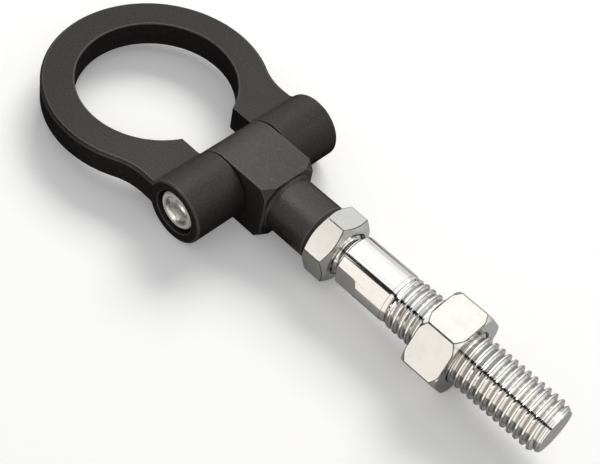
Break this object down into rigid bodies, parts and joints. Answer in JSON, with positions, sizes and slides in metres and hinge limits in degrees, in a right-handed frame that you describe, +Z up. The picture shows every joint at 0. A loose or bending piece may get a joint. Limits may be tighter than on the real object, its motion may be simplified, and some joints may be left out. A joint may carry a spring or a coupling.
{
  "type": "tow eye",
  "caption": "Folding tow eye: a flat ring hinged on a block and shank, locked by a nut onto a screwed stud with wrench flats and a hexagon lock nut.",
  "frame": {"origin": "On the stud axis, at the face of the lock nut that seats on the car.", "axes": "+X along the stud to its tip, +Y along the hinge screw, +Z up out of the flat ring."},
  "size_m": [0.2068, 0.075, 0.0274],
  "materials": {
    "black_anodised": "satin black anodised over a fine blasted surface",
    "plated_steel": "bright zinc plated turned steel"
  },
  "bodies": {
    "stud_body": {"hinge_block": "black_anodised", "jam_nut": "plated_steel", "threaded_stud": "plated_steel"},
    "ring_body": {"tow_ring": "black_anodised", "pivot_screw": "plated_steel"},
    "lock_nut_body": {"lock_nut": "plated_steel"}
  },
  "joints": [
    {"name": "ring_fold", "type": "hinge", "parent": "stud_body", "child": "ring_body", "pos_m": [-0.0937, 0, 0], "axis": [0, 1, 0], "range_deg": [-160, 160]},
    {"name": "lock_nut_travel", "type": "slide", "parent": "stud_body", "child": "lock_nut_body", "axis": [1, 0, 0], "range_m": [-0.01, 0.03]}
  ]
}
